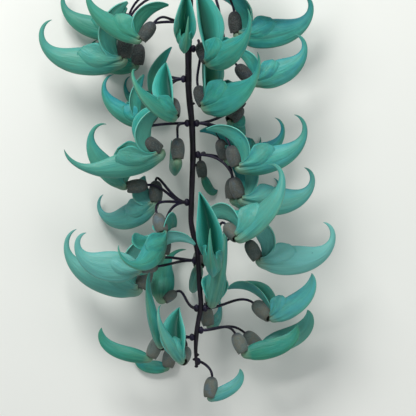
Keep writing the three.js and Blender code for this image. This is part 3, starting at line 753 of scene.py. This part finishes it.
def make_standard_blank():
    bpy.ops.mesh.primitive_grid_add(x_subdivisions=STANDARD_ROWS, y_subdivisions=STANDARD_COLUMNS, size=2,
                                    rotation=(math.pi / 2, 0, 0))
    piece = fresh("standard_blank")
    shape_grid(piece, STANDARD_LENGTH, STANDARD_ROWS, STANDARD_COLUMNS, 2, fold_standard, lambda share: (
        1, read_shares(STANDARD_DEPTH_SHARES, share), read_shares(STANDARD_WIDTH_SHARES, share)))
    remember_shares(piece, STANDARD_LENGTH, axis=2)
    piece.data.materials.append(HOLLOW_FINISH)
    piece.data.materials.append(STANDARD_FINISH)
    return finish_blank(piece, ("SUBSURF", {"levels": 1, "render_levels": 1}),
                        ("SOLIDIFY", {"thickness": PETAL_THICKNESS, "offset": 0, "material_offset": 1}))


standard_blank = make_standard_blank()
print("standard blank faces", len(standard_blank.data.polygons))

# %% [markdown]
# ## Bending a blank
# Real petals bend along their length. A petal could be modelled bent for every flower, but a Curve
# modifier bends one straight blank along any guide line. Each flower gets its own guides, so no two
# flowers are quite the same. After the bend the piece's place is written into its mesh, and its
# object stays at the origin.


# %% Bend a copy
def guide_from(points):
    """A curve through the points, for the Curve modifier to bend along."""
    data = bpy.data.curves.new("guide", "CURVE")
    data.dimensions = "3D"
    data.twist_mode = "Z_UP"
    line = data.splines.new("POLY")
    line.points.add(len(points) - 1)
    for knot, place in zip(line.points, points):
        knot.co = (*place, 1)
    guide = bpy.data.objects.new("guide", data)
    bpy.context.scene.collection.objects.link(guide)
    return guide


def copy_of(blank, name):
    """A copy of a blank with a mesh of its own."""
    piece = blank.copy()
    piece.data = blank.data.copy()
    piece.name = name
    piece.data.name = name
    bpy.context.scene.collection.objects.link(piece)
    return piece


def bent(blank, name, points, place, before):
    """A copy of the blank, changed by the matrix before, bent along points and put in place."""
    piece = copy_of(blank, name)
    piece.data.transform(before)
    guide = guide_from(points)
    bend = piece.modifiers.new("bend", "CURVE")
    bend.object = guide
    bend.deform_axis = "POS_X"
    bpy.context.view_layer.objects.active = piece
    bpy.ops.object.modifier_apply(modifier=bend.name)
    bpy.data.objects.remove(guide)
    piece.data.transform(place)
    return piece


def add_sway(points, amount):
    """Bends the far end of a line sideways, by amount in millimetres."""
    last = len(points) - 1
    return [point + Vector((0, 0, amount * (step / last) ** 2.5)) for step, point in enumerate(points)]


print("bending tools ready")

# %% [markdown]
# ## Finishing a piece
# Every piece gets its finish, a smooth skin and its tone, and the CAD node that it stands in for is
# hidden. A thin tip that would dip under the floor could be cut off, but a soft petal is pressed flat by
# the cluster's weight. So it is squeezed into the last few millimetres above the floor.

# %% Finish a piece
PRESSED_DEPTH = 4 * MM


def press_on_floor(piece):
    """Squeezes what dips under the floor, and what lies close above it, to stay above the floor."""
    low = min(vertex.co.z for vertex in piece.data.vertices)
    if low >= 0:
        return
    for vertex in piece.data.vertices:
        if vertex.co.z < PRESSED_DEPTH:
            vertex.co.z = PRESSED_DEPTH * (vertex.co.z - low) / (PRESSED_DEPTH - low)


def finish_piece(piece, finish, node, tone=(0, 0.5, 0)):
    """Gives a piece its skin and its place in the frame; a blank's own finishes stay."""
    press_on_floor(piece)
    if not piece.data.materials:
        piece.data.materials.append(finish)
    for face in piece.data.polygons:
        face.use_smooth = True
    piece["tone"] = tone
    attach(piece, "root")
    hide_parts(node)


print("pieces are pressed within", PRESSED_DEPTH / MM, "mm of the floor")

# %% [markdown]
# ## Keels and wings
# A keel follows its claw's line and sways a little to one side. The wings' guides rise along the
# keel's side, and one wing always stands a little further out than the other. The wings could be
# mirrored copies, but real ones never match, so each gets its own lift and reach.

# %% Keels and wings
KEEL_SWAY = 4
WING_OUT = 5.2
WING_START = (2.5, 0)
WING_HEADING = 5
WING_CURVE = 61
WING_CURVE_LATE = 1.1
WING_UNLIKE = 3


def make_keel(number, place, tone, chance):
    own = OWN.get(number, {})
    line = add_sway(claw_line(number), chance.uniform(-KEEL_SWAY, KEEL_SWAY))
    blank = young_blank if "young" in own else keel_blank
    build = Matrix.Diagonal((1, own.get("deep", 1), own.get("fat", 1), 1))
    keel = bent(blank, f"keel_{number:02d}", line, place, build)
    finish_piece(keel, KEEL_FINISH, f"corolla_{number:02d}", tone)


def make_wings(number, place, tone, chance):
    own = OWN.get(number, {})
    for hand, label in ((1, "a"), (-1, "b")):
        lift = chance.uniform(-5, 5) + WING_UNLIKE * hand + (own.get("flare", 0) if hand > 0 else 0)
        reach = chance.uniform(0.94, 1.06) * own.get("wings", 1)
        points = line_along(WING_START, WING_LENGTH * reach, lambda share: (
            WING_HEADING + lift + WING_CURVE * share**WING_CURVE_LATE))
        shape = Matrix.Translation((0, 0, hand * WING_OUT)) @ Matrix.Diagonal((reach, 1, hand, 1))
        wing = bent(wing_blank, f"wing_{number:02d}_{label}", points, place, shape)
        if hand < 0:
            wing.data.flip_normals()
        finish_piece(wing, WING_FINISH, f"corolla_{number:02d}", tone)


print("keels and wings ready")

# %% [markdown]
# ## Standards, and all the flowers
# The standard leaves the calyx's mouth, turns up sharply and then arches back. It could be posed by
# hand for each flower, but a few poses cover most of them: a pose is the heading in degrees that the
# standard ends with, and its length. A closed flower has only its keel.

# %% Build the flowers
STANDARD_POSES = {"arched": (200, 1.0), "swept": (160, 0.96), "upright": (118, 0.96), "short": (130, 0.55)}
STANDARD_START = (2, -1.6)
STANDARD_HEADING = 15
STANDARD_TURN = 0.55


def make_standard(number, place, tone, chance):
    own = OWN.get(number, {})
    to, long = STANDARD_POSES[FLOWERS[number - 1][4]]
    to, long = own.get("to", to + chance.uniform(-8, 8)), own.get("long", long)
    start, turn = own.get("from", STANDARD_HEADING), own.get("turn", STANDARD_TURN)
    points = line_along(STANDARD_START, STANDARD_LENGTH * long, lambda share: (
        start + (to - start) * share**turn))
    shape = Matrix.Diagonal((long, chance.uniform(0.9, 1.1), own.get("wide", 1), 1))
    points = add_sway(points, own.get("lean", chance.uniform(-5, 5)))
    standard = bent(standard_blank, f"standard_{number:02d}", points, place, shape)
    finish_piece(standard, STANDARD_FINISH, f"corolla_{number:02d}", tone)


for number, flower in enumerate(FLOWERS, 1):
    chance = random.Random(number)
    pale = OWN.get(number, {}).get("pale", chance.uniform(0, 0.2))
    tone = (TONES[number - 1], pale, chance.uniform(0, 9))
    place = standing(number)[0]
    make_keel(number, place, tone, chance)
    if flower[4] != "closed":
        make_wings(number, place, tone, chance)
        make_standard(number, place, tone, chance)
print("petals made for", len(FLOWERS), "flowers")

# %% [markdown]
# ## Calyx
# The calyx is a bell with a rounded shoulder and a shallow-toothed mouth. A spun outline would give
# the bell but not its teeth. So a ring is extruded along its axis and scaled to the bell's profile,
# every fourth point of the mouth is drawn out to a tooth, and Solidify gives the wall its thickness,
# so the mouth is open round the petals.

# %% Calyx blank
CALYX_LENGTH = 19
CALYX_PROFILE = [
    (0, 1.3), (0.5, 2.6), (1.5, 4.1), (3.4, 5.4), (6.5, 6.3), (10.5, 6.6), (14.5, 6.2), (17.5, 5.5),
    (19, 5.2)]
CALYX_WALL = 0.8
TEETH = 5
TOOTH_LENGTH = 0.9


def make_calyx_blank():
    bpy.ops.mesh.primitive_circle_add(vertices=20, radius=1)
    piece = fresh("calyx_blank")
    last_z, last_radius = 0, 1
    for z, radius in CALYX_PROFILE:
        if z:
            bpy.ops.mesh.extrude_region_move(TRANSFORM_OT_translate={"value": (0, 0, z - last_z)})
        bpy.ops.transform.resize(value=(radius / last_radius,) * 2 + (1,), center_override=(0, 0, z))
        last_z, last_radius = z, radius
    pick(piece, lambda place: (
        place.z > CALYX_LENGTH - 0.1 and math.cos(TEETH * math.atan2(place.y, place.x)) > 0.9))
    bpy.ops.transform.translate(value=(0, 0, TOOTH_LENGTH))
    pick(piece, lambda place: place.z < CLOSE)
    bpy.ops.mesh.edge_face_add()
    bpy.ops.mesh.select_all(action="SELECT")
    bpy.ops.mesh.normals_make_consistent(inside=False)
    bpy.ops.object.mode_set(mode="OBJECT")
    petal = piece.data.attributes.new("petal", "FLOAT_VECTOR", "POINT")
    for point, held in zip(piece.data.vertices, petal.data):
        held.vector = (point.co.z / CALYX_LENGTH, 0, 0)
    return finish_blank(piece, ("SOLIDIFY", {"thickness": CALYX_WALL, "offset": -1}),
                        ("SUBSURF", {"levels": 1, "render_levels": 1}))


calyx_blank = make_calyx_blank()
print("calyx blank faces", len(calyx_blank.data.polygons))

# %% [markdown]
# ## Main stem
# The main stem hangs in a gentle bow, tapers, and is a little thicker here and there. It follows the
# same points as in the CAD. A ring could be extruded along them, but a curve with a round bevel keeps
# it smooth, takes a radius at every point, and is then turned into a mesh.

# %% Stem
STEM_LINE = [
    (-2, 198, 52), (-2, 160, 52), (-3, 130, 53), (-3, 95, 52), (0, 66, 51), (1, 38, 51), (0, 12, 50),
    (-1, -20, 50), (5, -45, 50), (7, -80, 51), (8, -91, 51), (4, -112, 51), (3, -130, 51), (4, -143, 51),
]
STEM_WIDTHS = [(0, 6.2), (0.33, 5.5), (0.52, 4.9), (0.92, 4.2), (0.96, 3.3), (1, 2.4)]
STEM_TOP = 198
STEM_END = -143
SWELLING = 0.05
SWELLING_PACE = 1.7


def stem_at(y):
    """Middle of the stem at a height y, and its width there."""
    for low, high in zip(STEM_LINE[1:], STEM_LINE):
        if low[1] <= y <= high[1]:
            share = (y - low[1]) / (high[1] - low[1])
            middle = Vector(low).lerp(Vector(high), share)
            down = (STEM_LINE[0][1] - y) / (STEM_LINE[0][1] - STEM_LINE[-1][1])
            return middle, read_shares(STEM_WIDTHS, down)


def tube(name, points, radii, kind="BEZIER"):
    """A round rod through points, in metres, made a mesh."""
    data = bpy.data.curves.new(name, "CURVE")
    data.dimensions = "3D"
    data.bevel_depth = MM
    data.bevel_resolution = 4
    data.resolution_u = 12
    data.use_fill_caps = True
    line = data.splines.new(kind)
    if kind == "BEZIER":
        line.bezier_points.add(1)
        for knot, (at, near, far), radius in zip(line.bezier_points, points, radii):
            knot.co, knot.handle_left, knot.handle_right, knot.radius = at, near, far, radius
    else:
        line.points.add(len(points) - 1)
        for knot, at, radius in zip(line.points, points, radii):
            knot.co, knot.radius = (*at, 1), radius
        line.order_u = 4
        line.use_endpoint_u = True
    piece = bpy.data.objects.new(name, data)
    bpy.context.scene.collection.objects.link(piece)
    bpy.ops.object.select_all(action="DESELECT")
    piece.select_set(True)
    bpy.context.view_layer.objects.active = piece
    bpy.ops.object.convert(target="MESH")
    return bpy.context.object


stem_rows = [stem_at(y) for y in range(STEM_TOP, STEM_END, -6)] + [stem_at(STEM_END)]
stem_radii = [width / 2 * (1 + SWELLING * math.sin(SWELLING_PACE * row))
              for row, (middle, width) in enumerate(stem_rows)]
stem = tube("main_stem", [settled(middle) for middle, width in stem_rows], stem_radii, "NURBS")
finish_piece(stem, STEM_FINISH, "stem")
print("stem faces", len(stem.data.polygons))

# %% [markdown]
# ## Scars on the stem
# Where a flower has dropped, a small corky pad stays on the stem. It could be a bump in the stem's
# skin, but from the side it shows in the outline, so each is a squashed ball that is narrowed at its
# upper end. A row says how high it sits and, in degrees, to which side it faces.

# %% Scars
SCARS = [[83, 0], [30, 10], [-133, 20], [-137, 190], [-143, 260]]
SCAR_WIDTH = 3.4
SCAR_HEIGHT = SCAR_WIDTH * 0.8
SCAR_SHOULDER = 0.25
SCAR_NARROWED = 0.7


def outwards(side):
    return Vector((math.cos(math.radians(side)), 0, math.sin(math.radians(side))))


def make_scar(number, y, side):
    middle, width = stem_at(y)
    at = settled(middle + outwards(side) * width / 2)
    bpy.ops.mesh.primitive_uv_sphere_add(segments=20, ring_count=12, radius=MM / 2, location=at)
    scar = fresh(f"scar_{number:02d}")
    bpy.ops.transform.resize(value=(SCAR_WIDTH, SCAR_HEIGHT, SCAR_WIDTH))
    pick(scar, lambda place: place.y > at.y + SCAR_SHOULDER * SCAR_HEIGHT * MM)
    bpy.ops.transform.resize(value=(SCAR_NARROWED, 1, SCAR_NARROWED))
    bpy.ops.object.mode_set(mode="OBJECT")
    finish_piece(scar, STEM_FINISH, "stem")


for number, (y, side) in enumerate(SCARS, 1):
    make_scar(number, y, side)
print(len(SCARS), "scars of dropped flowers")

# %% [markdown]
# ## Knobs, calyces and stalks
# The stalks of a cluster leave a small knob on the stem, and each curves out to its calyx and enters
# it from behind. A straight rod would meet the calyx at an angle. So a stalk is a curve with two
# handles, one pointing out from the knob and one back from the calyx. Lower calyces are the paler ones.

# %% Knob, calyx and stalk
KNOB_WIDTH = 6.2
KNOB_SHAPE = (0.8, 1.05, 0.8)
KNOB_SINK = 1
KNOB_SEAT = 0.5
CALYX_SIZES = (0.95, 1.1)
CALYX_LAP = 0.8
PALE_BELOW = 110
PALE_OVER = 220
STALK_WIDTH = 2.1
STALK_FOOT = 0.62
STALK_NECK = 0.5
STALK_BOW = 0.4
STALK_INSIDE = 1.5


def make_knob(number, node):
    """Makes a knob; gives the place where its stalks start, and the way out from the stem."""
    y, side = CLUSTERS[number - 1]
    middle, width = stem_at(y)
    out = outwards(side)
    foot = middle + out * ((width + KNOB_WIDTH) / 2 - KNOB_SINK)
    bpy.ops.mesh.primitive_uv_sphere_add(segments=20, ring_count=12, radius=KNOB_WIDTH / 2 * MM,
                                         location=settled(foot - out * KNOB_SEAT))
    knob = fresh(f"knob_{number:02d}")
    bpy.ops.transform.resize(value=KNOB_SHAPE)
    bpy.ops.object.mode_set(mode="OBJECT")
    finish_piece(knob, STALK_FINISH, node)
    return foot, out


def make_calyx(flower, node):
    """Makes a calyx; gives its closed end and the way it grows."""
    chance = random.Random(100 + flower)
    base = FLOWERS[flower - 1][1]
    place, size, growth = standing(flower)
    bell_size = min(max(size, CALYX_SIZES[0]), CALYX_SIZES[1]) * OWN.get(flower, {}).get("bell", 1)
    top = Vector(base) + growth * CALYX_LAP - growth * CALYX_LENGTH * bell_size
    roll = Matrix.Rotation(chance.uniform(0, 6), 4, "Z")
    turn = Vector((0, 0, 1)).rotation_difference(growth).to_matrix().to_4x4()
    bell = copy_of(calyx_blank, f"calyx_{flower:02d}")
    bell.data.transform(Matrix.Translation(settled(top)) @ turn @ roll @ Matrix.Scale(bell_size * MM, 4))
    pale = min(max((PALE_BELOW - base[1]) / PALE_OVER, 0), 1) + chance.uniform(-0.15, 0.15)
    finish_piece(bell, CALYX_FINISH, node, (pale, 0, 0))
    return top, growth


def make_stalk(flower, node, foot, out, top, growth):
    reach = (top - foot).length * STALK_BOW
    inside = top + growth * STALK_INSIDE
    stalk = tube(f"stalk_{flower:02d}", [
        (settled(foot), settled(foot - out), settled(foot + out * reach)),
        (settled(inside), settled(top - growth * reach), settled(inside + growth)),
    ], [STALK_WIDTH * STALK_FOOT, STALK_WIDTH * STALK_NECK])
    finish_piece(stalk, STALK_FINISH, node)


for number in range(1, len(CLUSTERS) + 1):
    node = f"stalk_cluster_{number:02d}"
    foot, out = make_knob(number, node)
    for flower, row in enumerate(FLOWERS, 1):
        if row[0] == number:
            top, growth = make_calyx(flower, node)
            make_stalk(flower, node, foot, out, top, growth)
for blank in (keel_blank, young_blank, wing_blank, standard_blank, calyx_blank):
    bpy.data.objects.remove(blank)
print(len(CLUSTERS), "stalk clusters made")

# %% [markdown]
# ## Floor
# The cluster lies on a plain pale floor, which isn't a part of it. A whole room could be modelled, but
# a large plane with a dull matt skin is enough to catch soft shadows.

# %% Floor
FLOOR_DROP = 0.0002
bpy.ops.mesh.primitive_plane_add(size=12, location=(0, 0, -FLOOR_DROP))
floor = bpy.context.object
floor.name = "floor"
floor_material, floor_tree, floor_shader = surface("pale_floor", Roughness=0.9)
floor_shader.inputs["Base Color"].default_value = linear("#e4e4de")
floor.data.materials.append(floor_material)
print("floor is", floor.dimensions.x, "m wide")

# %% [markdown]
# ## Lights
# The light is soft and comes mostly from the stem's cut end, as daylight does on the hanging cluster.
# One hard lamp would cut the petals into light and dark. So a pale room gives light from all round,
# a large key lamp stands near the cut end, and a weaker and wider one fills the far side.

# %% Lights
world = bpy.data.worlds.new("soft_room")
bpy.context.scene.world = world
world.use_nodes = True
world.node_tree.nodes["Background"].inputs["Color"].default_value = linear("#e6eef2")
world.node_tree.nodes["Background"].inputs["Strength"].default_value = 0.42


def lamp(name, place, size, power):
    """A square lamp that faces the cluster's middle; size is in metres and power in watts."""
    data = bpy.data.lights.new(name, "AREA")
    data.size = size
    data.energy = power
    light = bpy.data.objects.new(name, data)
    light.location = place
    light.rotation_euler = Vector(place).to_track_quat("Z", "Y").to_euler()
    bpy.context.scene.collection.objects.link(light)


lamp("key", (-0.35, 0.9, 0.95), 0.6, 18)
lamp("fill", (0.8, -0.5, 1.1), 1.2, 5)
print("lights set")

# %% [markdown]
# ## Camera
# The camera looks straight down, so the lying cluster shows the side that it shows while hanging. A
# near camera would make the top flowers look too big. So a long lens is used from far away, which
# keeps near and far flowers at nearly the same scale. Its distance follows from the picture's width.

# %% Camera
PICTURE_WIDTH = 357.8
PICTURE_MIDDLE = (13.8, -6.9, 50)
LENS = 500
SENSOR = 36
camera_data = bpy.data.cameras.new("camera")
camera_data.lens = LENS
camera_data.sensor_width = SENSOR
camera_data.clip_start = 0.1
camera_data.clip_end = 50
camera = bpy.data.objects.new("camera", camera_data)
bpy.context.scene.collection.objects.link(camera)
camera.location = settled(PICTURE_MIDDLE) + Vector((0, 0, PICTURE_WIDTH * LENS / SENSOR * MM))
bpy.context.scene.camera = camera
bpy.context.scene.view_settings.view_transform = "Standard"
print("camera", [round(c, 3) for c in camera.location])
